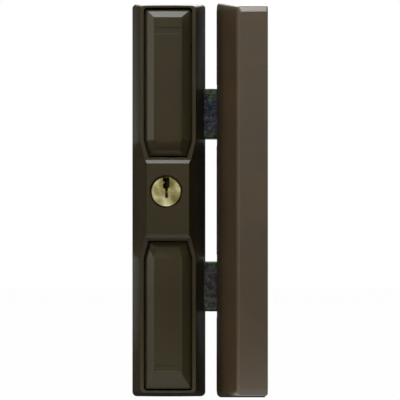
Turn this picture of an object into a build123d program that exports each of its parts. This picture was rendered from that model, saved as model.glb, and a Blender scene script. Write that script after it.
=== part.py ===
"""Skylight lock: a key-operated lock case with two sliding bolts, and the strike box that takes them.

Frame: X to the right, Z up, the mounting plane at Y = 0 and the front towards -Y.
The origin is the centre of the case's back. "Depth" below is the distance in front of the
mounting plane, so front_plane(depth) is a plane that faces the person at the lock.
All sizes are in millimetres. The bolts are modelled thrown, as the lock stands when locked.
"""

from build123d import *
from math import atan, cos, pi, radians, sin, sqrt, tan
import os

os.makedirs("parts", exist_ok=True)


def save(part, name):
    """Labels a finished piece and writes it to its own STEP file."""
    part.label = name
    export_step(part, f"parts/{name}.step")


# Driving dimensions of the case
case_width = 31.4
case_height = 168.7
skirt_depth = 10.0
ring_depth = 28.5
end_crown = 0.15
case_corner_radius = 2.0
side_wall = 1.7
ring_half_width = 11.65
ring_half_height = 81.1
ring_corner_radius = 1.6
waist_half_width = 9.8
taper_outer_z = 24.7
taper_inner_z = 17.0
block_depth = 31.2
block_step_depth = 29.9
block_step_half_width = 9.5
block_front_half_width = 8.8
block_half_height = 16.4
block_bevel = 1.55

# Driving dimensions of the screw covers
cover_half_width = 9.55
cover_end_half_width = 7.66
cover_inner_z = 18.05
cover_outer_z = 79.7
cover_rim_depth = 21.5
cover_foot_depth = 27.4
cover_top_depth = 30.0
cover_bevel_run = 3.7
upper_cover_end_run = 3.6
lower_cover_end_run = 6.5
cover_crease_z = 24.8
cover_slope_end_z = 20.4
cover_slope_end_depth = 28.9
cover_slope_foot_depth = 27.3
cover_end_depth = 27.2
cover_wall = 1.4
hollow_foot_depth = 25.8
channel_inner_inset = 0.2
channel_outer_inset = 0.5
cover_gap = 0.65
cover_corner_radius = 0.8
rib_height = 0.45
rib_depth = 24.3
rib_width = 1.2
rib_length = 5.0
rib_zs = (35.0, 67.0)
rib_root = 0.1
web_height = 4.0
web_thickness = 1.2
web_half_width = 6.2
ledge_width = 1.65
pocket_floor_depth = 15.0

# Driving dimensions of the bolt carriage and its drive
plate_thickness = 2.0
cavity_depth = 12.6
cavity_half_height = 52.6
bolt_throw = 12.0
pinion_teeth = 10
pressure_angle = radians(25)
tooth_backlash = 0.12
carriage_thickness = 2.0
carriage_width = 15.6
carriage_half_height = 50.0
sliding_gap = 0.25

# Driving dimensions of the cylinder
plug_x = -0.75
plug_z = 3.05
plug_radius = 6.35
plug_shank_radius = 6.0
face_hole_radius = 6.9
running_clearance = 0.03
plug_front_depth = 30.9
plug_shoulder_depth = 26.7
plug_rear_depth = 9.2
body_front_depth = 28.2
body_rear_depth = 10.6
flange_thickness = 2.0
body_radius = 8.0
lug_half_width = 3.6
lug_bottom_z = -13.0
lug_corner_radius = 1.2
keyway_width = 2.7
ward_width = 1.15
keyway_bottom = -2.6
keyway_end_depth = 11.5
pin_radius = 1.45
chamber_radius = 1.5
pin_depths = (25.0, 21.3, 17.6, 13.9)
key_cut_heights = (1.4, 0.5, 1.9, 0.9)
strip_thickness = 1.0
strip_width = 4.2
strip_rear_depth = 12.3
strip_front_depth = 26.6
spring_turns = 3
corners_per_turn = 6
coil_radius = 1.0
wire_radius = 0.2

# Driving dimensions of the bolts
bolt_height = 21.4
bolt_centre_z = 37.1
bolt_thickness = 8.0
bolt_rest_end_x = 27.3
bolt_length = 27.7
bolt_bevel = 0.6
bolt_slot_clearance = 0.3

# Driving dimensions of the strike box
strike_left_x = 20.6
strike_right_x = 41.25
strike_half_height = 84.35
strike_skirt_depth = 15.5
strike_shoulder_depth = 42.6
strike_shoulder_left_x = 28.3
strike_shoulder_top_z = 79.0
strike_shoulder_bottom_z = -80.9
strike_depth = 44.0
strike_front_left_x = 29.55
strike_front_top_z = 76.35
strike_front_bottom_z = -78.6
strike_corner_radius = 2.0
strike_right_corner_radius = 0.6
strike_wall = 1.8
strike_notch_depth = 15.0
strike_notch_side_gap = 2.7
frame_thickness = 3.0
frame_left_x = 24.1
frame_upright_depth = 15.0
frame_half_height = 80.9
frame_gap = 0.15
inner_bend_radius = 0.8
outer_bend_radius = 2.5

# Fastening points in the mounting plane
case_screw_x = 6.5
case_screw_z = 67.0
case_screw_radius = 2.3
plate_screw_z = 77.5
strike_screw_x = 33.0
strike_screw_zs = (15.0, 72.0)
strike_screw_radius = 2.4

# Values worked out from the driving dimensions
half_width = case_width / 2
half_height = case_height / 2
inner_half_width = half_width - side_wall
carriage_rear_depth = plate_thickness + sliding_gap
carriage_front_depth = carriage_rear_depth + carriage_thickness
bolt_front_depth = carriage_front_depth + bolt_thickness
carriage_right_x = inner_half_width - 0.4
carriage_left_x = carriage_right_x - carriage_width
bolt_left_x = bolt_rest_end_x - bolt_length
pitch_radius = bolt_throw / pi
tooth_module = 2 * pitch_radius / pinion_teeth
addendum = 0.8 * tooth_module
dedendum = 1.05 * tooth_module


def front_plane(depth):
    """The plane at that depth in front of the mounting plane, facing forward."""
    return Plane.XZ.offset(depth)


def both_ends(x_values, z_values):
    """Points at every x, above and below the centre line at every z."""
    return [(x, side * z) for x in x_values for z in z_values for side in (1, -1)]


def turned(profile, x=0.0, z=0.0):
    """A solid turned round a line square to the wall, from (radius, depth) corner points."""
    with BuildPart() as piece:
        with BuildSketch(Plane((x, 0, z))):
            with BuildLine():
                Polyline([(radius, -depth) for radius, depth in profile], close=True)
            make_face()
        revolve(axis=Axis((x, 0, z), (0, 1, 0)))
    return piece.part


def upright(profile, depth):
    """A solid turned round an upright line through the plug's middle, from (radius, z) points."""
    with BuildPart() as piece:
        with BuildSketch(front_plane(depth)):
            with BuildLine():
                Polyline([(plug_x + radius, z) for radius, z in profile], close=True)
            make_face()
        revolve(axis=Axis((plug_x, -depth, 0), (0, 0, 1)))
    return piece.part


def case_outline(half_w, half_h, corner):
    """A closed face with straight sides, slightly crowned ends and rounded corners."""
    with BuildSketch() as outline:
        with BuildLine():
            Line((half_w, -half_h), (half_w, half_h))
            ThreePointArc((half_w, half_h), (0, half_h + end_crown), (-half_w, half_h))
            Line((-half_w, half_h), (-half_w, -half_h))
            ThreePointArc((-half_w, -half_h), (0, -half_h - end_crown), (half_w, -half_h))
        make_face()
        fillet(outline.vertices(), corner)
    return outline.sketch


def cover_outline(side, grow=0.0, corner=cover_corner_radius):
    """A cover's outline seen from the front, grown outwards; side is 1 above and -1 below."""
    with BuildSketch() as outline:
        with BuildLine():
            Polyline(
                (-cover_half_width, side * cover_outer_z),
                (cover_half_width, side * cover_outer_z),
                (cover_half_width, side * taper_outer_z),
                (cover_end_half_width, side * cover_inner_z),
                (-cover_end_half_width, side * cover_inner_z),
                (-cover_half_width, side * taper_outer_z),
                close=True,
            )
        make_face()
        if grow:
            offset(amount=grow, kind=Kind.INTERSECTION)
        fillet(outline.vertices().filter_by(lambda v: abs(v.Y) > taper_outer_z + 5), corner)
    return outline.sketch


def body_section(grow=0.0):
    """The cylinder body's section: a round barrel with the pin lug below it."""
    with BuildSketch() as section:
        with Locations((plug_x, plug_z)):
            Circle(body_radius + grow)
        lug_height = plug_z - lug_bottom_z
        with Locations((plug_x, lug_bottom_z + lug_height / 2)):
            Rectangle(2 * (lug_half_width + grow), lug_height + 2 * grow)
        fillet(section.vertices().group_by(Axis.Y)[0], lug_corner_radius)
    return section.sketch


# Case housing: one zinc die casting with a pocket for each cover and the cylinder block between
body_clearance = 0.05
recess_half_width = inner_half_width + 0.5
recess_half_height = half_height - 0.9
recess_corner_radius = 1.4
end_cavity_inner_z = cavity_half_height + 2.4
end_cavity_outer_z = half_height - 2.0
case_boss_radius = case_screw_radius + 1.7
plate_boss_radius = 3.0
plate_thread_radius = 1.25
flange_thread_radius = 1.25
flange_screws = ((plug_x - 7.2, -6.6), (plug_x + 7.2, -6.6))
block_levels = (
    (ring_depth, waist_half_width, block_half_height),
    (block_step_depth, block_step_half_width, block_half_height),
    (block_depth, block_front_half_width, block_half_height - block_bevel),
)

with BuildPart() as case_housing:
    with BuildSketch(front_plane(0)):
        add(case_outline(half_width, half_height, case_corner_radius))
    extrude(amount=skirt_depth)
    with BuildSketch(front_plane(skirt_depth)):
        add(case_outline(half_width, half_height, case_corner_radius))
    with BuildSketch(front_plane(ring_depth)):
        add(case_outline(ring_half_width, ring_half_height, ring_corner_radius))
    loft(ruled=True)
    with BuildSketch(front_plane(skirt_depth)):
        Rectangle(case_width + 2, 2 * taper_outer_z)
    extrude(amount=ring_depth, mode=Mode.SUBTRACT)
    waist = (-taper_outer_z, -taper_inner_z, taper_inner_z, taper_outer_z)
    for z, half_front in zip(waist, (ring_half_width, waist_half_width, waist_half_width, ring_half_width)):
        with BuildSketch(Plane.XY.offset(z)):
            Polygon(
                (-half_width, -skirt_depth),
                (half_width, -skirt_depth),
                (half_front, -ring_depth),
                (-half_front, -ring_depth),
                align=None,
            )
    loft(ruled=True)
    for section in zip(block_levels, block_levels[1:]):
        for depth, half_w, half_h in section:
            with BuildSketch(front_plane(depth)):
                Rectangle(2 * half_w, 2 * half_h)
        loft(ruled=True)
    for side in (1, -1):
        with BuildSketch(front_plane(pocket_floor_depth)):
            add(cover_outline(side, cover_gap - ledge_width, 1.0))
        extrude(amount=block_depth, mode=Mode.SUBTRACT)
        with BuildSketch(front_plane(cover_rim_depth)):
            add(cover_outline(side, cover_gap, cover_corner_radius + cover_gap))
        extrude(amount=block_depth, mode=Mode.SUBTRACT)
    with BuildSketch(front_plane(0)):
        RectangleRounded(2 * recess_half_width, 2 * recess_half_height, recess_corner_radius)
    extrude(amount=plate_thickness, mode=Mode.SUBTRACT)
    with BuildSketch(front_plane(0)):
        Rectangle(2 * inner_half_width, 2 * cavity_half_height)
        for side in (1, -1):
            with Locations((0, side * (end_cavity_inner_z + end_cavity_outer_z) / 2)):
                Rectangle(2 * inner_half_width, end_cavity_outer_z - end_cavity_inner_z)
    extrude(amount=cavity_depth, mode=Mode.SUBTRACT)
    with BuildSketch(front_plane(plate_thickness)):
        with Locations(both_ends((-case_screw_x, case_screw_x), (case_screw_z,))):
            Circle(case_boss_radius)
        with Locations(both_ends((0,), (plate_screw_z,))):
            Circle(plate_boss_radius)
    extrude(amount=cavity_depth - plate_thickness)
    with BuildSketch(front_plane(0)):
        with Locations(both_ends((-case_screw_x, case_screw_x), (case_screw_z,))):
            Circle(case_screw_radius)
    extrude(amount=pocket_floor_depth + 1, mode=Mode.SUBTRACT)
    with BuildSketch(front_plane(0)):
        with Locations(both_ends((0,), (plate_screw_z,))):
            Circle(plate_thread_radius)
    extrude(amount=10, mode=Mode.SUBTRACT)
    bolt_slot_depth = carriage_front_depth - bolt_slot_clearance
    with BuildSketch(front_plane(bolt_slot_depth)):
        with Locations((half_width, bolt_centre_z), (half_width, -bolt_centre_z)):
            Rectangle(4 * side_wall, bolt_height + 2 * bolt_slot_clearance)
    extrude(amount=cavity_depth - bolt_slot_depth, mode=Mode.SUBTRACT)
    with BuildSketch(front_plane(cavity_depth - 1)):
        add(body_section(body_clearance))
    extrude(amount=body_front_depth - cavity_depth + 1, mode=Mode.SUBTRACT)
    with BuildSketch(front_plane(body_front_depth - 1)):
        with Locations((plug_x, plug_z)):
            Circle(face_hole_radius)
    extrude(amount=block_depth, mode=Mode.SUBTRACT)
    with BuildSketch(front_plane(cavity_depth - 1)):
        with Locations(*flange_screws):
            Circle(flange_thread_radius)
    extrude(amount=7, mode=Mode.SUBTRACT)
save(case_housing.part, "case_housing")


# Base plate: closes the back of the case and carries the carriage guides
plate_gap = 0.1
plate_half_width = recess_half_width - plate_gap
plate_half_height = recess_half_height - plate_gap
plate_screws = both_ends((0,), (plate_screw_z,))
plate_hole_radius = 1.6
plate_screw_radius = 1.2
plate_screw_head_radius = 2.9
plate_screw_sink = 0.1
plate_screw_tip_depth = 9.0
guide_web_z = carriage_half_height + 0.15
guide_top_z = cavity_half_height - 0.2
guide_lip_z = bolt_centre_z + bolt_height / 2 + 0.5
guide_lip_depth = carriage_front_depth + 0.2
guide_front_depth = guide_lip_depth + 1.2
guide_half_length = 13.0
tab_spots = both_ends((-9.5, 9.5), ((guide_web_z + guide_top_z) / 2,))
tab_length = 4.0
tab_width = 1.6
tab_gap = 0.02

with BuildPart() as base_plate:
    with BuildSketch(front_plane(0)):
        RectangleRounded(2 * plate_half_width, 2 * plate_half_height, recess_corner_radius - plate_gap)
        with Locations(both_ends((-case_screw_x, case_screw_x), (case_screw_z,))):
            Circle(case_screw_radius, mode=Mode.SUBTRACT)
        with Locations(*tab_spots):
            Rectangle(tab_length + 2 * tab_gap, tab_width + 2 * tab_gap, mode=Mode.SUBTRACT)
    extrude(amount=plate_thickness)
    mouth_radius = plate_screw_head_radius + plate_screw_sink
    hole_profile = [(0, 0), (mouth_radius, 0), (plate_hole_radius, mouth_radius - plate_hole_radius)]
    hole_profile += [(plate_hole_radius, plate_thickness + 0.5), (0, plate_thickness + 0.5)]
    for x, z in plate_screws:
        add(turned(hole_profile, x, z), mode=Mode.SUBTRACT)
save(base_plate.part, "base_plate")

with BuildPart() as base_plate_screws:
    head_foot_depth = plate_screw_sink + plate_screw_head_radius - plate_screw_radius
    profile = [(0, plate_screw_sink), (plate_screw_head_radius, plate_screw_sink)]
    profile += [(plate_screw_radius, head_foot_depth)]
    profile += [(plate_screw_radius, plate_screw_tip_depth), (0, plate_screw_tip_depth)]
    for x, z in plate_screws:
        add(turned(profile, x, z))
save(base_plate_screws.part, "base_plate_screws")


# Carriage guides: two lipped rails, staked into the plate by tabs, that let the carriage slide sideways
with BuildPart() as carriage_guides:
    for side in (1, -1):
        with BuildSketch(Plane.YZ):
            with BuildLine():
                Polyline(
                    (-plate_thickness, side * guide_web_z),
                    (-guide_lip_depth, side * guide_web_z),
                    (-guide_lip_depth, side * guide_lip_z),
                    (-guide_front_depth, side * guide_lip_z),
                    (-guide_front_depth, side * guide_top_z),
                    (-plate_thickness, side * guide_top_z),
                    close=True,
                )
            make_face()
    extrude(amount=guide_half_length, both=True)
    with BuildSketch(front_plane(0.1)):
        with Locations(*tab_spots):
            Rectangle(tab_length, tab_width)
    extrude(amount=plate_thickness)
save(carriage_guides.part, "carriage_guides")


# Bolt carriage: the sliding plate; each bolt and the rack sit in it by a tenon and one screw
rack_z = plug_z + pitch_radius
rack_top_z = rack_z + 5.2
rack_front_depth = 8.6
rack_middle_x = (carriage_left_x + carriage_right_x) / 2
rack_screw_z = (rack_z + dedendum + rack_top_z) / 2
fastening_zs = (bolt_centre_z, -bolt_centre_z, rack_screw_z)
screw_x = carriage_right_x - 3.5
tenon_x = bolt_left_x + 3.5
tenon_length = 4.0
tenon_height = 2.6
tenon_gap = 0.02
thread_radius = 1.0
screw_head_radius = 2.0
screw_tip_depth = 7.6
countersink = [
    (0, carriage_rear_depth),
    (screw_head_radius, carriage_rear_depth),
    (thread_radius, carriage_rear_depth + screw_head_radius - thread_radius),
]


def screw_hole_at(z):
    """The blind hole for the carriage screw at that height."""
    profile = [(0, 0), (thread_radius, 0), (thread_radius, screw_tip_depth), (0, screw_tip_depth)]
    return turned(profile, screw_x, z)


def tenon_at(z):
    """The tenon by which a bolt or the rack sits in the carriage."""
    with BuildPart() as tenon:
        with BuildSketch(front_plane(carriage_rear_depth + tenon_gap)):
            with Locations((tenon_x, z)):
                Rectangle(tenon_length, tenon_height)
        extrude(amount=carriage_thickness - tenon_gap)
    return tenon.part


with BuildPart() as bolt_carriage:
    with BuildSketch(front_plane(carriage_rear_depth)):
        with Locations((rack_middle_x, 0)):
            RectangleRounded(carriage_width, 2 * carriage_half_height, 1.0)
        with Locations([(tenon_x, z) for z in fastening_zs]):
            Rectangle(tenon_length + 2 * tenon_gap, tenon_height + 2 * tenon_gap, mode=Mode.SUBTRACT)
    extrude(amount=carriage_thickness)
    for z in fastening_zs:
        profile = countersink + [(thread_radius, carriage_front_depth + 1), (0, carriage_front_depth + 1)]
        add(turned(profile, screw_x, z), mode=Mode.SUBTRACT)
save(bolt_carriage.part, "bolt_carriage")

with BuildPart() as carriage_screws:
    for z in fastening_zs:
        add(turned(countersink + [(thread_radius, screw_tip_depth), (0, screw_tip_depth)], screw_x, z))
save(carriage_screws.part, "carriage_screws")


def bolt_at(centre_z):
    """A thrown bolt: a bevelled steel bar held to the carriage by its tenon and a screw."""
    with BuildPart() as bolt:
        with BuildSketch(front_plane(carriage_front_depth)):
            with Locations((bolt_left_x + bolt_length / 2, centre_z)):
                Rectangle(bolt_length, bolt_height)
        extrude(amount=bolt_thickness)
        tip_edges = bolt.faces().sort_by(Axis.X)[-1].edges()
        chamfer(bolt.edges().filter_by(Axis.X) + tip_edges, bolt_bevel)
        add(tenon_at(centre_z))
        add(screw_hole_at(centre_z), mode=Mode.SUBTRACT)
    return bolt.part


save(bolt_at(bolt_centre_z), "upper_bolt")
save(bolt_at(-bolt_centre_z), "lower_bolt")


# Rack and pinion: half a turn of the plug moves the carriage by the bolts' whole throw
tooth_pitch = pi * tooth_module
tooth_count = round(bolt_throw / tooth_pitch) + 1
tooth_half = (tooth_pitch / 2 - tooth_backlash / 2) / 2
flank_slope = tan(pressure_angle)

with BuildPart() as drive_rack:
    with BuildSketch(front_plane(carriage_front_depth)):
        bar_bottom_z = rack_z + dedendum
        with Locations((rack_middle_x, (bar_bottom_z + rack_top_z) / 2)):
            Rectangle(carriage_width, rack_top_z - bar_bottom_z)
        with Locations([(plug_x + number * tooth_pitch, rack_z) for number in range(tooth_count)]):
            Polygon(
                (-tooth_half - dedendum * flank_slope, dedendum),
                (-tooth_half + addendum * flank_slope, -addendum),
                (tooth_half - addendum * flank_slope, -addendum),
                (tooth_half + dedendum * flank_slope, dedendum),
                align=None,
            )
    extrude(amount=rack_front_depth - carriage_front_depth)
    add(tenon_at(rack_screw_z))
    add(screw_hole_at(rack_screw_z), mode=Mode.SUBTRACT)
save(drive_rack.part, "drive_rack")


def flank_point(radius, side):
    """A point on a pinion tooth's involute flank, with the tooth pointing along +X."""
    base_radius = pitch_radius * cos(pressure_angle)
    unwound = sqrt((radius / base_radius) ** 2 - 1)
    at_pitch = tan(pressure_angle) - pressure_angle
    half_angle = tooth_half / pitch_radius + at_pitch - (unwound - atan(unwound))
    return (radius * cos(half_angle), side * radius * sin(half_angle))


pinion_rear_depth = 5.4
pinion_front_depth = 9.1
tenon_half = 1.8
tenon_play = 0.03
flank_radii = [pitch_radius * cos(pressure_angle) + 0.001]
flank_radii += [pitch_radius + share * addendum for share in (-0.3, 0.2, 0.6, 1.0)]
root_radius = pitch_radius - dedendum
tooth_face = [(root_radius * 0.9, -flank_point(flank_radii[0], 1)[1])]
tooth_face += [flank_point(radius, -1) for radius in flank_radii]
tooth_face += [flank_point(radius, 1) for radius in reversed(flank_radii)]
tooth_face += [(root_radius * 0.9, flank_point(flank_radii[0], 1)[1])]

with BuildPart() as drive_pinion:
    with BuildSketch(front_plane(pinion_rear_depth)):
        with Locations((plug_x, plug_z)):
            Circle(root_radius)
            with PolarLocations(0, pinion_teeth, start_angle=90 + 180 / pinion_teeth):
                Polygon(*tooth_face, align=None)
    extrude(amount=pinion_front_depth - pinion_rear_depth)
    with BuildSketch(front_plane(pinion_rear_depth)):
        with Locations((plug_x, plug_z)):
            Rectangle(2 * (tenon_half + tenon_play), 2 * (tenon_half + tenon_play))
    extrude(amount=pinion_front_depth, mode=Mode.SUBTRACT)
save(drive_pinion.part, "drive_pinion")


# Cylinder: a flanged body with a pin lug below, and a plug that turns in it
plug_spot = (plug_x, plug_z)
flange_lobe_radius = 2.8
flange_hole_radius = 1.35
flange_screw_radius = 1.2
flange_screw_head_radius = 2.2
flange_screw_head_height = 1.4
flange_screw_tip_depth = cavity_depth + 5
strip_play = 0.02
shoulder_play = 0.05
chamber_profile = [(0, plug_z), (chamber_radius, plug_z), (chamber_radius, -20), (0, -20)]
flange_hole_profile = [(0, 0), (flange_hole_radius, 0), (flange_hole_radius, 20), (0, 20)]

with BuildPart() as cylinder_body:
    with BuildSketch(front_plane(body_rear_depth)):
        add(body_section())
    extrude(amount=body_front_depth - body_rear_depth)
    with BuildSketch(front_plane(body_rear_depth)):
        with Locations(*flange_screws):
            Circle(flange_lobe_radius)
        with Locations(plug_spot):
            Circle(body_radius)
        make_hull()
    extrude(amount=flange_thickness)
    bore = plug_radius + running_clearance
    shank_bore = plug_shank_radius + running_clearance
    bore_step_depth = plug_shoulder_depth - shoulder_play
    bore_profile = [(0, 0), (shank_bore, 0), (shank_bore, bore_step_depth)]
    bore_profile += [(bore, bore_step_depth), (bore, 40), (0, 40)]
    add(turned(bore_profile, *plug_spot), mode=Mode.SUBTRACT)
    for depth in pin_depths:
        add(upright(chamber_profile, depth), mode=Mode.SUBTRACT)
    for x, z in flange_screws:
        add(turned(flange_hole_profile, x, z), mode=Mode.SUBTRACT)
    with BuildSketch(front_plane(strip_rear_depth)):
        with Locations((plug_x, lug_bottom_z)):
            Rectangle(strip_width + 2 * strip_play, 2 * strip_thickness)
    extrude(amount=strip_front_depth - strip_rear_depth, mode=Mode.SUBTRACT)
save(cylinder_body.part, "cylinder_body")

with BuildPart() as pin_chamber_strip:
    with BuildSketch(front_plane(strip_rear_depth + strip_play)):
        with Locations((plug_x, lug_bottom_z + strip_thickness / 2)):
            Rectangle(strip_width, strip_thickness)
    extrude(amount=strip_front_depth - strip_rear_depth - 2 * strip_play)
save(pin_chamber_strip.part, "pin_chamber_strip")

with BuildPart() as cylinder_screws:
    head_depth = body_rear_depth - flange_screw_head_height
    profile = [(0, head_depth), (flange_screw_head_radius, head_depth)]
    profile += [(flange_screw_head_radius, body_rear_depth), (flange_screw_radius, body_rear_depth)]
    profile += [(flange_screw_radius, flange_screw_tip_depth), (0, flange_screw_tip_depth)]
    for x, z in flange_screws:
        add(turned(profile, x, z))
save(cylinder_screws.part, "cylinder_screws")


# Plug: its keyway opens at the top edge, and the pins rise into it from below
clip_rear_depth = plug_rear_depth + 0.3
clip_front_depth = body_rear_depth - 0.1
clip_inner_radius = plug_shank_radius - 0.7
clip_play = 0.02
groove_radius = clip_inner_radius - clip_play
groove_rear_depth = clip_rear_depth - clip_play
groove_front_depth = clip_front_depth + clip_play
plug_edge_bevel = 0.35
pinion_thread_radius = 0.95
pinion_thread_depth = 11.5

with BuildPart() as cylinder_plug:
    profile = [(0, plug_rear_depth), (plug_shank_radius, plug_rear_depth)]
    profile += [(plug_shank_radius, groove_rear_depth), (groove_radius, groove_rear_depth)]
    profile += [(groove_radius, groove_front_depth), (plug_shank_radius, groove_front_depth)]
    profile += [(plug_shank_radius, plug_shoulder_depth), (plug_radius, plug_shoulder_depth)]
    profile += [(plug_radius, plug_front_depth - plug_edge_bevel)]
    profile += [(plug_radius - plug_edge_bevel, plug_front_depth), (0, plug_front_depth)]
    add(turned(profile, *plug_spot))
    with BuildSketch(front_plane(pinion_rear_depth + 0.05)):
        with Locations(plug_spot):
            Rectangle(2 * tenon_half, 2 * tenon_half)
    extrude(amount=plug_rear_depth - pinion_rear_depth)
    half = keyway_width / 2
    with BuildSketch(front_plane(keyway_end_depth)):
        with Locations(plug_spot):
            Polygon(
                (half, 7.5),
                (half, 2.0),
                (0.75, 1.3),
                (0.75, keyway_bottom),
                (0.75 - ward_width, keyway_bottom),
                (0.75 - ward_width, 1.0),
                (-half, 1.9),
                (-half, 3.2),
                (-0.55, 3.9),
                (-half, 4.6),
                (-half, 7.5),
                align=None,
            )
    extrude(amount=plug_front_depth, mode=Mode.SUBTRACT)
    for depth in pin_depths:
        chamber = [(0, plug_z), (chamber_radius, plug_z), (chamber_radius, plug_z - 8), (0, plug_z - 8)]
        add(upright(chamber, depth), mode=Mode.SUBTRACT)
    thread_profile = [(0, 0), (pinion_thread_radius, 0)]
    thread_profile += [(pinion_thread_radius, pinion_thread_depth), (0, pinion_thread_depth)]
    add(turned(thread_profile, *plug_spot), mode=Mode.SUBTRACT)
save(cylinder_plug.part, "cylinder_plug")

key_pin_foot_z = plug_z - plug_shank_radius + 0.25
key_pin_point = 1.3
driver_pin_top_z = plug_z - plug_shank_radius - 0.1
driver_pin_length = 3.4
spring_play = 0.02

with BuildPart() as key_pins:
    for depth, rise in zip(pin_depths, key_cut_heights):
        tip_z = plug_z + keyway_bottom + rise
        profile = [(0, key_pin_foot_z), (pin_radius, key_pin_foot_z)]
        add(upright(profile + [(pin_radius, tip_z - key_pin_point), (0, tip_z)], depth))
save(key_pins.part, "key_pins")

with BuildPart() as driver_pins:
    foot_z = driver_pin_top_z - driver_pin_length
    for depth in pin_depths:
        profile = [(0, driver_pin_top_z), (pin_radius, driver_pin_top_z), (pin_radius, foot_z), (0, foot_z)]
        add(upright(profile, depth))
save(driver_pins.part, "driver_pins")

with BuildPart() as pin_springs:
    for depth in pin_depths:
        spring_foot_z = lug_bottom_z + strip_thickness + wire_radius + spring_play
        spring_top_z = driver_pin_top_z - driver_pin_length - wire_radius - spring_play
        spring_height = spring_top_z - spring_foot_z
        rise = spring_height / (spring_turns * corners_per_turn)
        turn_angle = 2 * pi / corners_per_turn
        route = [
            (plug_x + coil_radius * cos(step * turn_angle), -depth + coil_radius * sin(step * turn_angle),
             spring_foot_z + step * rise)
            for step in range(spring_turns * corners_per_turn + 1)
        ]
        with BuildLine() as coil:
            Polyline(*route)
        with BuildSketch(Plane(coil.line @ 0, z_dir=coil.line % 0)):
            Rectangle(2 * wire_radius, 2 * wire_radius)
        sweep(transition=Transition.RIGHT)
save(pin_springs.part, "pin_springs")

clip_rim = 1.2
clip_mouth_width = 5.0

with BuildPart() as retaining_clip:
    with BuildSketch(front_plane(clip_rear_depth)):
        with Locations(plug_spot):
            Circle(plug_shank_radius + clip_rim)
            Circle(clip_inner_radius, mode=Mode.SUBTRACT)
            with Locations((0, -plug_shank_radius)):
                Rectangle(clip_mouth_width, 8.0, mode=Mode.SUBTRACT)
    extrude(amount=clip_front_depth - clip_rear_depth)
save(retaining_clip.part, "retaining_clip")

pinion_screw_radius = 0.9
pinion_screw_head_radius = 2.3
pinion_screw_head_height = 0.9
pinion_screw_tip_depth = 11.3

with BuildPart() as pinion_screw:
    head_depth = pinion_rear_depth - pinion_screw_head_height
    profile = [(0, head_depth), (pinion_screw_head_radius, head_depth)]
    profile += [(pinion_screw_head_radius, pinion_rear_depth), (pinion_screw_radius, pinion_rear_depth)]
    profile += [(pinion_screw_radius, pinion_screw_tip_depth), (0, pinion_screw_tip_depth)]
    add(turned(profile, *plug_spot))
save(pinion_screw.part, "pinion_screw")


# Screw covers: push-fit shells with faceted fronts that hide the mounting screws
def facet(*points):
    """The plane through three points, given as (x, depth, z), that faces the front."""
    first, second, third = [Vector(x, -depth, z) for x, depth, z in points]
    normal = (second - first).cross(third - first)
    if normal.Y > 0:
        normal = -normal
    return Plane(origin=first, z_dir=normal)


def sloping_facet(first_depth, first_z, second_depth, second_z):
    """A facet that runs straight across the cover, through two heights at their depths."""
    return facet((0, first_depth, first_z), (1, first_depth, first_z), (0, second_depth, second_z))


def faceted_length(side, near_z, far_z, facets):
    """The length of a cover between two heights, cut down to its facets."""
    with BuildPart() as length:
        with BuildSketch(front_plane(cover_rim_depth)):
            add(cover_outline(side))
            with Locations((0, side * (near_z + far_z) / 2)):
                Rectangle(case_width, far_z - near_z, mode=Mode.INTERSECT)
        extrude(amount=cover_top_depth - cover_rim_depth)
        for plane in facets:
            split(bisect_by=plane, keep=Keep.BOTTOM)
    return length.part


def cover_form(side, end_run):
    """A cover's solid form: a bevelled bar that slopes and narrows towards the cylinder."""
    outer_z, crease_z, slope_z, inner_z = [
        side * z for z in (cover_outer_z, cover_crease_z, cover_slope_end_z, cover_inner_z)
    ]
    half_top = cover_half_width - cover_bevel_run
    slope_share = (taper_outer_z - cover_slope_end_z) / (taper_outer_z - cover_inner_z)
    half_slope = cover_half_width - slope_share * (cover_half_width - cover_end_half_width)
    bar_facets = [
        sloping_facet(cover_foot_depth, outer_z, cover_top_depth, outer_z - side * end_run),
        sloping_facet(cover_top_depth, crease_z, cover_slope_end_depth, slope_z),
    ]
    end_facets = [sloping_facet(cover_slope_end_depth, slope_z, cover_end_depth, inner_z)]
    for edge in (-1, 1):
        outer_foot = (edge * cover_half_width, cover_foot_depth, outer_z)
        foot = (edge * cover_half_width, cover_foot_depth, crease_z)
        top = (edge * half_top, cover_top_depth, crease_z)
        slope_foot = (edge * half_slope, cover_slope_foot_depth, slope_z)
        slope_top = (edge * (half_slope - cover_bevel_run), cover_slope_end_depth, slope_z)
        end_foot = (edge * cover_end_half_width, cover_end_depth, inner_z)
        bar_facets.append(facet(outer_foot, foot, top))
        bar_facets.append(facet(foot, slope_foot, top))
        bar_facets.append(facet(slope_foot, slope_top, top))
        end_facets.append(facet(slope_foot, end_foot, slope_top))
    with BuildPart() as form:
        add(faceted_length(side, cover_slope_end_z, cover_outer_z, bar_facets))
        add(faceted_length(side, cover_inner_z, cover_slope_end_z, end_facets))
    return form.part


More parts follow.
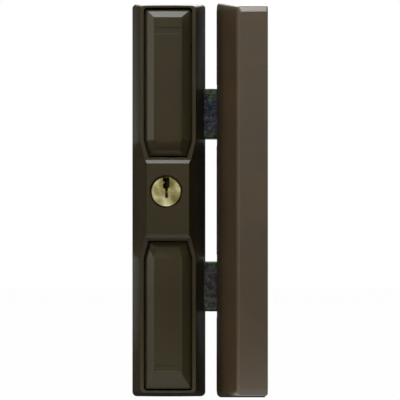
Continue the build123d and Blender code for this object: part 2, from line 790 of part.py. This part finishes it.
def screw_cover(side, end_run):
    """A screw cover with its hollow and the low ribs on its skirt that grip the pocket."""
    half_hollow = cover_half_width - cover_wall
    half_roof = half_hollow - cover_bevel_run + cover_wall / 2
    roof_depth = cover_top_depth - cover_wall
    eaves_depth = cover_foot_depth - 0.6 * cover_wall
    channel_start_z = cover_crease_z + channel_inner_inset
    channel_length = cover_outer_z - end_run - channel_outer_inset - channel_start_z
    with BuildPart() as cover:
        add(cover_form(side, end_run))
        with BuildSketch(front_plane(cover_rim_depth)):
            add(cover_outline(side, -cover_wall, cover_corner_radius / 2))
        extrude(amount=hollow_foot_depth - cover_rim_depth, mode=Mode.SUBTRACT)
        with BuildSketch(Plane.XY.offset(side * (channel_start_z + channel_length / 2))):
            Polygon(
                (-half_hollow, -hollow_foot_depth),
                (half_hollow, -hollow_foot_depth),
                (half_hollow, -eaves_depth),
                (half_roof, -roof_depth),
                (-half_roof, -roof_depth),
                (-half_hollow, -eaves_depth),
                align=None,
            )
        extrude(amount=channel_length / 2, both=True, mode=Mode.SUBTRACT)
        rib_x = cover_half_width + (rib_height - rib_root) / 2
        for z in rib_zs:
            for edge in (-1, 1):
                with Locations((edge * rib_x, -rib_depth, side * z)):
                    Box(rib_height + rib_root, rib_width, rib_length)
            with Locations((0, -(roof_depth - web_height / 2), side * z)):
                Box(2 * web_half_width, web_height, web_thickness)
    return cover.part


save(screw_cover(1, upper_cover_end_run), "upper_cover")
save(screw_cover(-1, lower_cover_end_run), "lower_cover")


# Strike frame: a folded steel angle, screwed to the window, whose upright takes the bolts
frame_right_x = strike_right_x - strike_wall - frame_gap
window_height = bolt_height + 2 * bolt_slot_clearance
window_rear_depth = carriage_front_depth - bolt_slot_clearance
window_front_depth = bolt_front_depth + bolt_slot_clearance

with BuildPart() as strike_frame:
    with BuildSketch(Plane.XY):
        with BuildLine():
            Polyline(
                (frame_left_x, 0),
                (frame_left_x, -frame_upright_depth),
                (frame_left_x + frame_thickness, -frame_upright_depth),
                (frame_left_x + frame_thickness, -frame_thickness),
                (frame_right_x, -frame_thickness),
                (frame_right_x, 0),
                close=True,
            )
        make_face()
    extrude(amount=frame_half_height, both=True)
    inner_corner = (frame_left_x + frame_thickness, -frame_thickness, 0)
    fillet(strike_frame.edges().filter_by(Axis.Z).sort_by_distance(inner_corner)[0], inner_bend_radius)
    outer_corner = (frame_left_x, 0, 0)
    fillet(strike_frame.edges().filter_by(Axis.Z).sort_by_distance(outer_corner)[0], outer_bend_radius)
    window_middle_depth = (window_rear_depth + window_front_depth) / 2
    window_span = window_front_depth - window_rear_depth
    for side in (1, -1):
        with Locations((frame_left_x, -window_middle_depth, side * bolt_centre_z)):
            Box(3 * frame_thickness, window_span, window_height, mode=Mode.SUBTRACT)
    with BuildSketch(front_plane(0)):
        with Locations(both_ends((strike_screw_x,), strike_screw_zs)):
            Circle(strike_screw_radius)
    extrude(amount=frame_thickness, mode=Mode.SUBTRACT)
save(strike_frame.part, "strike_frame")


# Strike cover: a deep die-cast box, open at the back, that drops over the frame
def strike_outline(left_x, bottom_z, top_z, inset):
    """The box's outline at one depth: rounded on the lock's side, nearly square on the other."""
    width = strike_right_x - left_x - 2 * inset
    height = top_z - bottom_z - 2 * inset
    with BuildSketch() as outline:
        with Locations(((left_x + strike_right_x) / 2, (bottom_z + top_z) / 2)):
            Rectangle(width, height)
        fillet(outline.vertices().group_by(Axis.X)[0], strike_corner_radius - 0.5 * inset)
        fillet(outline.vertices().group_by(Axis.X)[-1], strike_right_corner_radius)
    return outline.sketch


def strike_form(inset=0.0):
    """The strike box's whole form, or with an inset the hollow inside it."""
    skirt = (strike_left_x, -strike_half_height, strike_half_height)
    shoulder = (strike_shoulder_left_x, strike_shoulder_bottom_z, strike_shoulder_top_z)
    front = (strike_front_left_x, strike_front_bottom_z, strike_front_top_z)
    levels = (
        (0, skirt),
        (strike_skirt_depth, skirt),
        (strike_shoulder_depth - inset, shoulder),
        (strike_depth - inset, front),
    )
    with BuildPart() as form:
        for low, high in zip(levels, levels[1:]):
            for depth, limits in (low, high):
                with BuildSketch(front_plane(depth)):
                    add(strike_outline(*limits, inset))
            loft(ruled=True)
    return form.part


with BuildPart() as strike_cover:
    add(strike_form())
    add(strike_form(strike_wall), mode=Mode.SUBTRACT)
    notch_height = bolt_height + 2 * strike_notch_side_gap
    for side in (1, -1):
        with Locations((strike_left_x, -strike_notch_depth / 2, side * bolt_centre_z)):
            Box(3 * strike_wall, strike_notch_depth, notch_height, mode=Mode.SUBTRACT)
save(strike_cover.part, "strike_cover")
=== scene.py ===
"""The finished skylight lock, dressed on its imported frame: satin brown castings, brass cylinder,
chromated bolts and zinc-plated works, in the order in which the lock is put together."""

import math

import bmesh
import bpy
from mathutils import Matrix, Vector


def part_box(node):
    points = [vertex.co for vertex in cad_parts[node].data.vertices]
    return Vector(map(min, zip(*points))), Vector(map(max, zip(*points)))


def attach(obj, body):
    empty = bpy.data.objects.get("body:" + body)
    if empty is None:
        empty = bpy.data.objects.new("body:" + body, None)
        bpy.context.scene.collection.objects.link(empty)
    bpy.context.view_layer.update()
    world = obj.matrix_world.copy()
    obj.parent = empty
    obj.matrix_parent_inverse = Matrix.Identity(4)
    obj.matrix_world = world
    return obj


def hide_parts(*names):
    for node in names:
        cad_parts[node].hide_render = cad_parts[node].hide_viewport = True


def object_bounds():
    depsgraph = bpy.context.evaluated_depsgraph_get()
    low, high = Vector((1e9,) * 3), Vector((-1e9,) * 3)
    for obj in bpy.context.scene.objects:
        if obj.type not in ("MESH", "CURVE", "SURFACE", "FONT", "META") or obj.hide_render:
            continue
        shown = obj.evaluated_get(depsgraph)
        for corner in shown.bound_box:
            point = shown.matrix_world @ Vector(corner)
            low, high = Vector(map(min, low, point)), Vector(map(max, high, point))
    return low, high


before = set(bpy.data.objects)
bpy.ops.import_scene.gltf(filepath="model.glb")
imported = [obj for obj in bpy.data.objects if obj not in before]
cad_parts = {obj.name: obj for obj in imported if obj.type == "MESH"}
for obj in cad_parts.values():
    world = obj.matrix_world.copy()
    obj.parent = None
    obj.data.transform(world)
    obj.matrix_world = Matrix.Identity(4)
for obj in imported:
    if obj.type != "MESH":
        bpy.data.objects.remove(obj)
cad_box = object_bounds()


# Base plate, guides and screws
# The back of the case is a blanked steel plate with two lipped rails staked to it by their tabs, and
# two countersunk screws hold it in the casting. All are bright zinc plate, brushed along their length.
def shader(name):
    """A new material's node tree and its shader."""
    material = bpy.data.materials.new(name)
    material.use_nodes = True
    nodes = material.node_tree.nodes
    return material, nodes, material.node_tree.links, nodes["Principled BSDF"]


def noise(nodes, links, scale, detail=4.0, stretch=(1.0, 1.0, 1.0), roughness=0.55):
    """A noise read in the object's own space; scale is grains per metre."""
    place = nodes.new("ShaderNodeTexCoord")
    mapping = nodes.new("ShaderNodeMapping")
    mapping.inputs["Scale"].default_value = stretch
    texture = nodes.new("ShaderNodeTexNoise")
    texture.inputs["Scale"].default_value = scale
    texture.inputs["Detail"].default_value = detail
    texture.inputs["Roughness"].default_value = roughness
    links.new(place.outputs["Object"], mapping.inputs["Vector"])
    links.new(mapping.outputs["Vector"], texture.inputs["Vector"])
    return texture.outputs["Fac"]


def ramp(nodes, links, source, stops):
    """A colour ramp; stops are (position, (red, green, blue))."""
    node = nodes.new("ShaderNodeValToRGB")
    while len(node.color_ramp.elements) < len(stops):
        node.color_ramp.elements.new(0.5)
    for element, (position, colour) in zip(node.color_ramp.elements, stops):
        element.position = position
        element.color = (*colour, 1.0)
    links.new(source, node.inputs["Fac"])
    return node.outputs["Color"]


def spread(nodes, links, source, low, high):
    """A noise's middle range stretched to run from low to high."""
    node = nodes.new("ShaderNodeMapRange")
    node.inputs["From Min"].default_value = 0.3
    node.inputs["From Max"].default_value = 0.7
    node.inputs["To Min"].default_value = low
    node.inputs["To Max"].default_value = high
    links.new(source, node.inputs["Value"])
    return node.outputs["Result"]


def blend_colours(nodes, links, kind, first, second):
    """Two colours multiplied or added."""
    node = nodes.new("ShaderNodeMix")
    node.data_type = "RGBA"
    node.blend_type = kind
    node.clamp_result = False
    node.inputs["Factor"].default_value = 1.0
    sockets = {socket.identifier: socket for socket in (*node.inputs, *node.outputs)}
    links.new(first, sockets["A_Color"])
    links.new(second, sockets["B_Color"])
    return sockets["Result_Color"]


def bumps(nodes, links, source, depth, base=None):
    """Surface relief of that depth in metres, on top of any relief given."""
    node = nodes.new("ShaderNodeBump")
    node.inputs["Distance"].default_value = depth
    links.new(source, node.inputs["Height"])
    if base is not None:
        links.new(base, node.inputs["Normal"])
    return node.outputs["Normal"]


def zinc_plate():
    """Bright zinc on steel: a pale grey metal with fine brushing and cloudy passivation."""
    material, nodes, links, metal = shader("zinc_plate")
    clouds = noise(nodes, links, 90.0)
    brushing = noise(nodes, links, 500.0, 3.0, (6.0, 6.0, 0.4))
    metal.inputs["Metallic"].default_value = 1.0
    colour = ramp(nodes, links, clouds, [(0.3, (0.42, 0.43, 0.44)), (0.7, (0.58, 0.58, 0.56))])
    links.new(colour, metal.inputs["Base Color"])
    links.new(spread(nodes, links, brushing, 0.28, 0.46), metal.inputs["Roughness"])
    links.new(bumps(nodes, links, brushing, 0.00001), metal.inputs["Normal"])
    return material


def paint_node(node, material):
    """Gives a node that keeps its own shape the finish it has."""
    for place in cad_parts[node].material_slots:
        place.material = material


zinc = zinc_plate()
for node in ("base_plate", "carriage_guides", "base_plate_screws"):
    paint_node(node, zinc)


# Bolt carriage, its drive and the strike frame
# A sheet-steel slide with a milled rack, a pinion on the plug's tail and the folded steel angle that
# stands in the strike box. Bolts and rack sit in the slide by a tenon and a screw; all zinc plated.
for node in ("bolt_carriage", "carriage_screws", "drive_rack", "drive_pinion", "strike_frame"):
    paint_node(node, zinc)


# Bolts
# Two milled steel bars with a chromate finish that has gone cloudy: the upper one green at its top
# and bottom and navy between, the lower one green, purple and then grey, with painted highlights in pale
# streaks.
def combine(nodes, links, operation, first, second):
    """Two values joined by one plain sum, product or comparison."""
    node = nodes.new("ShaderNodeMath")
    node.operation = operation
    for socket, value in zip(node.inputs, (first, second)):
        if isinstance(value, float):
            socket.default_value = value
        else:
            links.new(value, socket)
    return node.outputs["Value"]


def chromate(name, low_z, height, tints):
    """Mottled chromate on steel; tints are (share of the bolt's height, colour) from its foot up."""
    material, nodes, links, metal = shader(name)
    place = nodes.new("ShaderNodeTexCoord")
    parts = nodes.new("ShaderNodeSeparateXYZ")
    links.new(place.outputs["Object"], parts.inputs["Vector"])
    above_foot = combine(nodes, links, "SUBTRACT", parts.outputs["Z"], low_z)
    share = combine(nodes, links, "DIVIDE", above_foot, height)
    clouds = noise(nodes, links, 230.0, 3.0, roughness=0.6)
    drift = combine(nodes, links, "MULTIPLY", combine(nodes, links, "SUBTRACT", clouds, 0.5), 0.5)
    body = ramp(nodes, links, combine(nodes, links, "ADD", share, drift), tints)
    blotches = noise(nodes, links, 620.0, 6.0, roughness=0.8)
    # The pale bluish-grey streaks added over the mottling are painted highlights.
    sheen_streaks = noise(nodes, links, 700.0, 5.0, (0.35, 1.0, 2.4), 0.75)
    grains = noise(nodes, links, 2600.0, 3.0)
    dark, plain, pale = (0.25, 0.25, 0.25), (0.9, 0.9, 0.9), (2.2, 2.2, 2.1)
    depth = ramp(nodes, links, blotches, [(0.36, dark), (0.50, plain), (0.64, pale)])
    painted_highlights = ramp(nodes, links, sheen_streaks, [(0.56, (0.0, 0.0, 0.0)), (0.67, (0.120, 0.122, 0.130))])
    mottled = blend_colours(nodes, links, "MULTIPLY", body, depth)
    finish = blend_colours(nodes, links, "ADD", mottled, painted_highlights)
    metal.inputs["Metallic"].default_value = 0.55
    links.new(finish, metal.inputs["Base Color"])
    links.new(spread(nodes, links, blotches, 0.55, 0.36), metal.inputs["Roughness"])
    links.new(bumps(nodes, links, grains, 0.00003), metal.inputs["Normal"])
    return material


green, deep_green = (0.080, 0.130, 0.080), (0.052, 0.090, 0.052)
navy, slate = (0.034, 0.042, 0.076), (0.074, 0.084, 0.122)
purple, grey = (0.066, 0.058, 0.078), (0.092, 0.094, 0.086)
bolt_tints = {
    "upper_bolt": [
        (0.06, deep_green), (0.20, slate), (0.42, slate), (0.62, navy), (0.74, navy), (0.86, green)],
    "lower_bolt": [(0.10, grey), (0.42, grey), (0.62, purple), (0.84, purple), (0.94, deep_green)],
}
for node, tints in bolt_tints.items():
    low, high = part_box(node)
    paint_node(node, chromate(node + "_chromate", low.z, high.z - low.z, tints))


# Cylinder and plug
# A turned brass plug in a brass body, with brass pins, steel springs, a clip, and a yellow-passivated
# screw at its tail. The face shows fine turned rings, and the brass has dulled to a greenish gold.
def turned_brass(name, centre, face_y, inner_shade):
    """Dulled brass with the rings of a turned face, and painted shade in the gap and keyway behind that
    face.
    """
    material, nodes, links, metal = shader(name)
    place = nodes.new("ShaderNodeTexCoord")
    shift = nodes.new("ShaderNodeMapping")
    shift.inputs["Location"].default_value = (-centre.x, 0.0, -centre.z)
    shift.inputs["Scale"].default_value = (1.0, 0.0, 1.0)
    rings = nodes.new("ShaderNodeTexWave")
    rings.wave_type = "RINGS"
    rings.rings_direction = "SPHERICAL"
    rings.inputs["Scale"].default_value = 620.0
    rings.inputs["Distortion"].default_value = 0.6
    links.new(place.outputs["Object"], shift.inputs["Vector"])
    links.new(shift.outputs["Vector"], rings.inputs["Vector"])
    tarnish = noise(nodes, links, 170.0, 4.0, roughness=0.5)
    colour = ramp(nodes, links, tarnish, [
        (0.34, (0.34, 0.31, 0.11)),
        (0.46, (0.56, 0.51, 0.23)),
        (0.55, (0.78, 0.73, 0.40)),
        (0.63, (0.95, 0.90, 0.62)),
    ])
    parts = nodes.new("ShaderNodeSeparateXYZ")
    links.new(place.outputs["Object"], parts.inputs["Vector"])
    # Painted shade: the brass is darkened from about 1 to 3.3 mm behind the face, where the gap round
    # the plug and the keyway lie in shade, and takes inner_shade further in.
    shade_reach = 0.006
    behind_face = combine(nodes, links, "SUBTRACT", parts.outputs["Y"], face_y)
    behind = combine(nodes, links, "DIVIDE", behind_face, shade_reach)
    bare, painted_shade = (1.0, 1.0, 1.0), (0.10, 0.085, 0.04)
    shade_by_depth = ramp(nodes, links, behind, [(0.05, bare), (0.16, painted_shade), (0.55, painted_shade), (0.80, inner_shade)])
    links.new(blend_colours(nodes, links, "MULTIPLY", colour, shade_by_depth), metal.inputs["Base Color"])
    metal.inputs["Metallic"].default_value = 1.0
    links.new(spread(nodes, links, tarnish, 0.44, 0.26), metal.inputs["Roughness"])
    links.new(bumps(nodes, links, rings.outputs["Fac"], 0.00001), metal.inputs["Normal"])
    return material


def yellow_metal(name):
    """Orange-toned and a little oily, as pin brass and yellow-passivated zinc are."""
    material, nodes, links, metal = shader(name)
    grime = noise(nodes, links, 900.0, 3.0)
    colour = ramp(nodes, links, grime, [(0.35, (0.62, 0.30, 0.07)), (0.60, (0.95, 0.62, 0.26))])
    links.new(colour, metal.inputs["Base Color"])
    metal.inputs["Metallic"].default_value = 0.35
    links.new(spread(nodes, links, grime, 0.22, 0.38), metal.inputs["Roughness"])
    return material


plug_low, plug_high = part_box("cylinder_plug")
plug_middle = (plug_low + plug_high) / 2
paint_node("cylinder_plug", turned_brass("plug_brass", plug_middle, plug_low.y, (0.10, 0.08, 0.05)))
brass = turned_brass("works_brass", plug_middle, plug_low.y, (0.8, 0.7, 0.5))
for node in ("cylinder_body", "pin_chamber_strip"):
    paint_node(node, brass)
pin_brass = yellow_metal("pin_brass")
for node in ("key_pins", "driver_pins"):
    paint_node(node, pin_brass)
for node in ("pin_springs", "retaining_clip", "cylinder_screws"):
    paint_node(node, zinc)
paint_node("pinion_screw", yellow_metal("yellow_zinc"))


# Case, covers and strike box
# Zinc die castings, stoved in a satin dark brown that looks almost bronze where the light meets it;
# the strike box's brown is made lighter and warmer as painted light. The covers push into the case, and
# each has a bare sunk pad.
def brown_lacquer(name, shades, gloss):
    """Satin stoved brown in three close shades: a faint orange peel, some cloudiness and fine specks."""
    material, nodes, links, paint = shader(name)
    clouds = noise(nodes, links, 55.0, 3.0)
    peel = noise(nodes, links, 1500.0, 2.0)
    specks = noise(nodes, links, 5200.0, 2.0)
    colour = ramp(nodes, links, clouds, list(zip((0.30, 0.50, 0.70), shades)))
    links.new(colour, paint.inputs["Base Color"])
    paint.inputs["Specular IOR Level"].default_value = gloss
    links.new(spread(nodes, links, specks, 0.34, 0.42), paint.inputs["Roughness"])
    relief = bumps(nodes, links, peel, 0.000012)
    links.new(bumps(nodes, links, specks, 0.000004, relief), paint.inputs["Normal"])
    return material


def sunk_pad(shape, middle, length, height, depth):
    """Sinks a shallow bare pad into the flat front face that its middle lies on."""
    flush = 0.00002

    def level_faces():
        return [
            face for face in shape.faces
            if face.normal.y < -0.9999 and abs(face.calc_center_median().y - middle.y) < flush
        ]

    for direction, reach in ((Vector((1, 0, 0)), length / 2), (Vector((0, 0, 1)), height / 2)):
        for side in (-1, 1):
            faces = level_faces()
            edges = {edge for face in faces for edge in face.edges}
            corners = {corner for face in faces for corner in face.verts}
            bmesh.ops.bisect_plane(
                shape, geom=faces + list(edges) + list(corners),
                plane_co=middle + side * reach * direction, plane_no=direction)
    pad = [face for face in level_faces() if (face.calc_center_median() - middle).length < height / 4]
    rim = bmesh.ops.inset_region(shape, faces=pad, thickness=depth, depth=-depth)
    for face in rim["faces"]:
        for edge in face.edges:
            edge.smooth = False


def eased_copy(node, radius, pads):
    """The node's form with its edges eased to a small radius, as the casting and lacquer leave them.

    Pads are (middle, length, height, depth).
    """
    same_point = 0.000002
    flat_angle, sharp_angle = math.radians(0.6), math.radians(24.0)
    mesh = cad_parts[node].data.copy()
    mesh.materials.clear()
    shape = bmesh.new()
    shape.from_mesh(mesh)
    bmesh.ops.remove_doubles(shape, verts=shape.verts, dist=same_point)
    bmesh.ops.dissolve_limit(shape, angle_limit=flat_angle, verts=shape.verts, edges=shape.edges)
    corners = [
        edge for edge in shape.edges
        if len(edge.link_faces) == 2 and edge.calc_face_angle() > sharp_angle
    ]
    bmesh.ops.bevel(
        shape, geom=corners, offset=radius, offset_type="OFFSET", segments=2, profile=0.5,
        affect="EDGES", clamp_overlap=True)
    for middle, length, height, depth in pads:
        sunk_pad(shape, middle, length, height, depth)
    for face in shape.faces:
        face.smooth = True
    shape.to_mesh(mesh)
    shape.free()
    piece = bpy.data.objects.new(node + "_eased", mesh)
    bpy.context.scene.collection.objects.link(piece)
    even = piece.modifiers.new("even_faces", "WEIGHTED_NORMAL")
    even.weight = 100
    even.keep_sharp = True
    return piece


case_brown = ((0.046, 0.032, 0.006), (0.053, 0.038, 0.008), (0.060, 0.041, 0.009))
# The strike brown is the case brown made lighter and warmer: painted light for the warm light on the
# strike box's left face.
strike_lit_brown = ((0.098, 0.063, 0.030), (0.108, 0.070, 0.034), (0.120, 0.074, 0.034))
case_lacquer = brown_lacquer("case_lacquer", case_brown, 0.5)
strike_lit_lacquer = brown_lacquer("strike_lit_lacquer", strike_lit_brown, 1.0)
cover_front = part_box("upper_cover")[0].y
pad_x, upper_pad_z, lower_pad_z = -0.0003, 0.0705, -0.0708
pad_size = (0.0104, 0.0029, 0.00022)
upper_pad = (Vector((pad_x, cover_front, upper_pad_z)), *pad_size)
lower_pad = (Vector((pad_x, cover_front, lower_pad_z)), *pad_size)
box_edge, cover_edge = 0.0003, 0.00022
lacquered = (
    ("case_housing", "lock_case", case_lacquer, box_edge, []),
    ("upper_cover", "upper_cover", case_lacquer, cover_edge, [upper_pad]),
    ("lower_cover", "lower_cover", case_lacquer, cover_edge, [lower_pad]),
    ("strike_cover", "strike_cover", strike_lit_lacquer, box_edge, []),
)
for node, body, lacquer, edge_radius, pads in lacquered:
    piece = eased_copy(node, edge_radius, pads)
    piece.data.materials.append(lacquer)
    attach(piece, body)
    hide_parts(node)


# Floor, light and camera
# A white sweep, seen white by the camera and mirrored white where it lies behind the lock, which
# still takes the lock's shadow. The main soft box hangs steeply above; weaker ones stand all round.
def seen_white(nodes, links):
    """Two switches: for rays straight from the camera, and for mirrored ones and those through glass."""
    rays = nodes.new("ShaderNodeLightPath")
    mirrored = nodes.new("ShaderNodeMath")
    mirrored.operation = "MAXIMUM"
    links.new(rays.outputs["Is Glossy Ray"], mirrored.inputs[0])
    links.new(rays.outputs["Is Transmission Ray"], mirrored.inputs[1])
    return rays.outputs["Is Camera Ray"], mirrored.outputs["Value"]


def sweep_white():
    """White paper: nearly all glow where it is looked at, and plain paper to the light.

    Mirrored, it is white in the wedge behind the lock and just in front of it, and dim beside it.
    """
    wedge_start, wedge_slope = 0.3, 0.29
    apron_y, apron_reach, apron_half_width = -0.085, 0.055, 0.09
    beside = 0.05
    material, nodes, links, paper = shader("sweep_white")
    paper.inputs["Base Color"].default_value = (0.35, 0.35, 0.35, 1.0)
    paper.inputs["Roughness"].default_value = 0.9
    glow = nodes.new("ShaderNodeEmission")
    mix = nodes.new("ShaderNodeMixShader")
    direct, mirrored = seen_white(nodes, links)
    looked_at = combine(nodes, links, "MAXIMUM", direct, mirrored)
    share = combine(nodes, links, "MULTIPLY", looked_at, 0.985)
    links.new(share, mix.inputs["Fac"])
    place = nodes.new("ShaderNodeTexCoord")
    parts = nodes.new("ShaderNodeSeparateXYZ")
    links.new(place.outputs["Object"], parts.inputs["Vector"])
    aside = combine(nodes, links, "ABSOLUTE", parts.outputs["X"], 0.0)
    wedge_half_width = combine(nodes, links, "MULTIPLY", parts.outputs["Y"], wedge_slope)
    in_wedge = combine(nodes, links, "LESS_THAN", aside, wedge_half_width)
    behind = combine(nodes, links, "GREATER_THAN", parts.outputs["Y"], wedge_start)
    wedge = combine(nodes, links, "MULTIPLY", behind, in_wedge)
    from_apron = combine(nodes, links, "ADD", parts.outputs["Y"], -apron_y)
    distance = combine(nodes, links, "ABSOLUTE", from_apron, 0.0)
    near = combine(nodes, links, "LESS_THAN", distance, apron_reach)
    within = combine(nodes, links, "LESS_THAN", aside, apron_half_width)
    apron = combine(nodes, links, "MULTIPLY", near, within)
    white = combine(nodes, links, "MAXIMUM", wedge, apron)
    surround = combine(nodes, links, "MAXIMUM", white, beside)
    strength = combine(nodes, links, "MAXIMUM", direct, surround)
    links.new(strength, glow.inputs["Strength"])
    links.new(paper.outputs["BSDF"], mix.inputs[1])
    links.new(glow.outputs["Emission"], mix.inputs[2])
    links.new(mix.outputs["Shader"], nodes["Material Output"].inputs["Surface"])
    return material


floor_mesh = bpy.data.meshes.new("floor")
floor_gap = 0.0006
floor_z = cad_box[0][2] - floor_gap
half_floor = 1.6
floor_mesh.from_pydata(
    [(-half_floor, -half_floor, floor_z), (half_floor, -half_floor, floor_z),
     (half_floor, half_floor, floor_z), (-half_floor, half_floor, floor_z)],
    [], [(0, 1, 2, 3)])
floor = bpy.data.objects.new("floor", floor_mesh)
floor_mesh.materials.append(sweep_white())
bpy.context.scene.collection.objects.link(floor)


def studio():
    """A dim room, darker on the right, with a white backdrop behind the lock."""
    world = bpy.data.worlds.new("studio")
    bpy.context.scene.world = world
    world.use_nodes = True
    nodes, links = world.node_tree.nodes, world.node_tree.links
    room = nodes["Background"]
    room.inputs["Color"].default_value = (0.95, 0.97, 1.0, 1)
    backdrop = nodes.new("ShaderNodeBackground")
    backdrop.inputs["Color"].default_value = (1, 1, 1, 1)
    backdrop.inputs["Strength"].default_value = 1.0
    way = nodes.new("ShaderNodeTexCoord")
    parts = nodes.new("ShaderNodeSeparateXYZ")
    links.new(way.outputs["Generated"], parts.inputs["Vector"])
    fall = nodes.new("ShaderNodeMapRange")
    for name, value in (("From Min", -0.4), ("From Max", 0.4), ("To Min", 0.055), ("To Max", 0.008)):
        fall.inputs[name].default_value = value
    links.new(parts.outputs["X"], fall.inputs["Value"])
    links.new(fall.outputs["Result"], room.inputs["Strength"])
    straight_behind = 0.96
    behind = combine(nodes, links, "GREATER_THAN", parts.outputs["Y"], straight_behind)
    direct, mirrored = seen_white(nodes, links)
    white = combine(nodes, links, "MAXIMUM", direct, combine(nodes, links, "MULTIPLY", mirrored, behind))
    choose = nodes.new("ShaderNodeMixShader")
    links.new(white, choose.inputs["Fac"])
    links.new(room.outputs["Background"], choose.inputs[1])
    links.new(backdrop.outputs["Background"], choose.inputs[2])
    links.new(choose.outputs["Shader"], nodes["World Output"].inputs["Surface"])


studio()


def soft_light(name, place, aim, size, power, colour=(1, 1, 1)):
    """A square soft box at place, turned towards aim."""
    lamp = bpy.data.lights.new(name, "AREA")
    lamp.size = size
    lamp.energy = power
    lamp.color = colour
    holder = bpy.data.objects.new(name, lamp)
    holder.location = place
    holder.rotation_euler = (Vector(aim) - Vector(place)).to_track_quat("-Z", "Y").to_euler()
    bpy.context.scene.collection.objects.link(holder)


middle = (0.01, -0.02, 0.0)
soft_light("above", (-0.08, -0.29, 0.79), middle, 0.30, 4.3, (0.95, 0.98, 1.0))
soft_light("left", (-0.76, -0.37, 0.10), middle, 0.4, 1.25, (1.0, 0.98, 0.91))
soft_light("front", (-0.08, -1.1, 0.20), middle, 0.35, 0.68, (1.0, 0.95, 0.84))
soft_light("right", (0.78, -0.36, 0.02), middle, 0.6, 1.6)
soft_light("behind", (0.05, 0.75, 0.62), middle, 0.5, 4.0)

camera_x, camera_y, camera_z = 0.0134, -0.720, -0.01713
camera = bpy.data.cameras.new("camera")
camera.sensor_width = 36.0
camera.lens = 148.45
camera.shift_y = 0.10
camera_holder = bpy.data.objects.new("camera", camera)
camera_holder.location = (camera_x, camera_y, camera_z)
camera_holder.rotation_euler = (math.pi / 2, 0, 0)
bpy.context.scene.collection.objects.link(camera_holder)
bpy.context.scene.camera = camera_holder
bpy.context.scene.view_settings.view_transform = "Standard"
